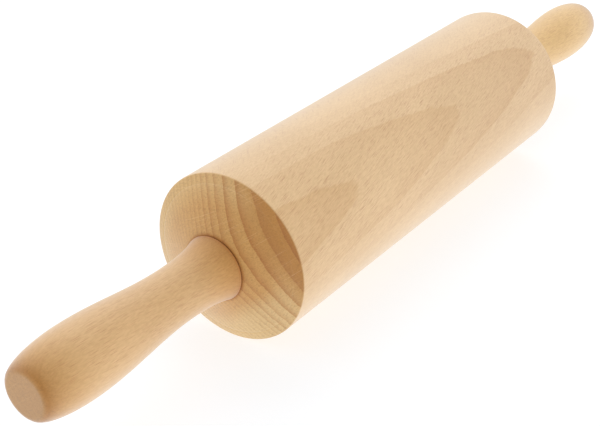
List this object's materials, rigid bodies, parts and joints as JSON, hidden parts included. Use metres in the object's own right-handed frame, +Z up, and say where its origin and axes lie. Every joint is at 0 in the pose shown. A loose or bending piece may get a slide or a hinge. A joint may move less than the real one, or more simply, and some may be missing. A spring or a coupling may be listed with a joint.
{
  "type": "rolling pin",
  "caption": "Wooden rolling pin: a barrel with shallow cone ends that turns on a steel axle in ball bearings, with a turned handle at each end.",
  "frame": {"origin": "on the board, under the middle of the barrel", "axes": "+X along the axis of the barrel, towards the right handle, +Z up from the board"},
  "size_m": [0.3944, 0.065, 0.0649],
  "materials": {
    "barrel_beech": "bare sanded beech, matte, with ray flecks and growth rings",
    "handle_beech": "bare turned beech, smooth and slightly satin",
    "axle_steel": "drawn and turned",
    "bearing_steel": "ground and polished",
    "shield_steel": "pressed sheet",
    "washer_steel": "pressed sheet",
    "cage_nylon": "moulded"
  },
  "bodies": {
    "handles": {"axle": "axle_steel", "left_handle": "handle_beech", "left_thrust_washer": "washer_steel", "left_bearing_inner_ring": "bearing_steel", "right_handle": "handle_beech", "right_thrust_washer": "washer_steel", "right_bearing_inner_ring": "bearing_steel"},
    "barrel": {"barrel": "barrel_beech", "left_bearing_outer_ring": "bearing_steel", "left_bearing_inner_shield": "shield_steel", "left_bearing_outer_shield": "shield_steel", "right_bearing_outer_ring": "bearing_steel", "right_bearing_inner_shield": "shield_steel", "right_bearing_outer_shield": "shield_steel"},
    "left_ball_set": {"left_bearing_cage": "cage_nylon", "left_bearing_ball_1": "bearing_steel", "left_bearing_ball_2": "bearing_steel", "left_bearing_ball_3": "bearing_steel", "left_bearing_ball_4": "bearing_steel", "left_bearing_ball_5": "bearing_steel", "left_bearing_ball_6": "bearing_steel", "left_bearing_ball_7": "bearing_steel"},
    "right_ball_set": {"right_bearing_cage": "cage_nylon", "right_bearing_ball_1": "bearing_steel", "right_bearing_ball_2": "bearing_steel", "right_bearing_ball_3": "bearing_steel", "right_bearing_ball_4": "bearing_steel", "right_bearing_ball_5": "bearing_steel", "right_bearing_ball_6": "bearing_steel", "right_bearing_ball_7": "bearing_steel"}
  },
  "joints": [
    {"name": "barrel_spin", "type": "hinge", "parent": "handles", "child": "barrel", "pos_m": [0, 0, 0.03246], "axis": [1, 0, 0], "continuous": true},
    {"name": "left_ball_orbit", "type": "hinge", "parent": "handles", "child": "left_ball_set", "pos_m": [0, 0, 0.03246], "axis": [1, 0, 0], "continuous": true},
    {"name": "right_ball_orbit", "type": "hinge", "parent": "handles", "child": "right_ball_set", "pos_m": [0, 0, 0.03246], "axis": [1, 0, 0], "continuous": true}
  ],
  "couplings": [
    {"joint": "left_ball_orbit", "follows": "barrel_spin", "ratio": 0.61759},
    {"joint": "right_ball_orbit", "follows": "barrel_spin", "ratio": 0.61759}
  ]
}
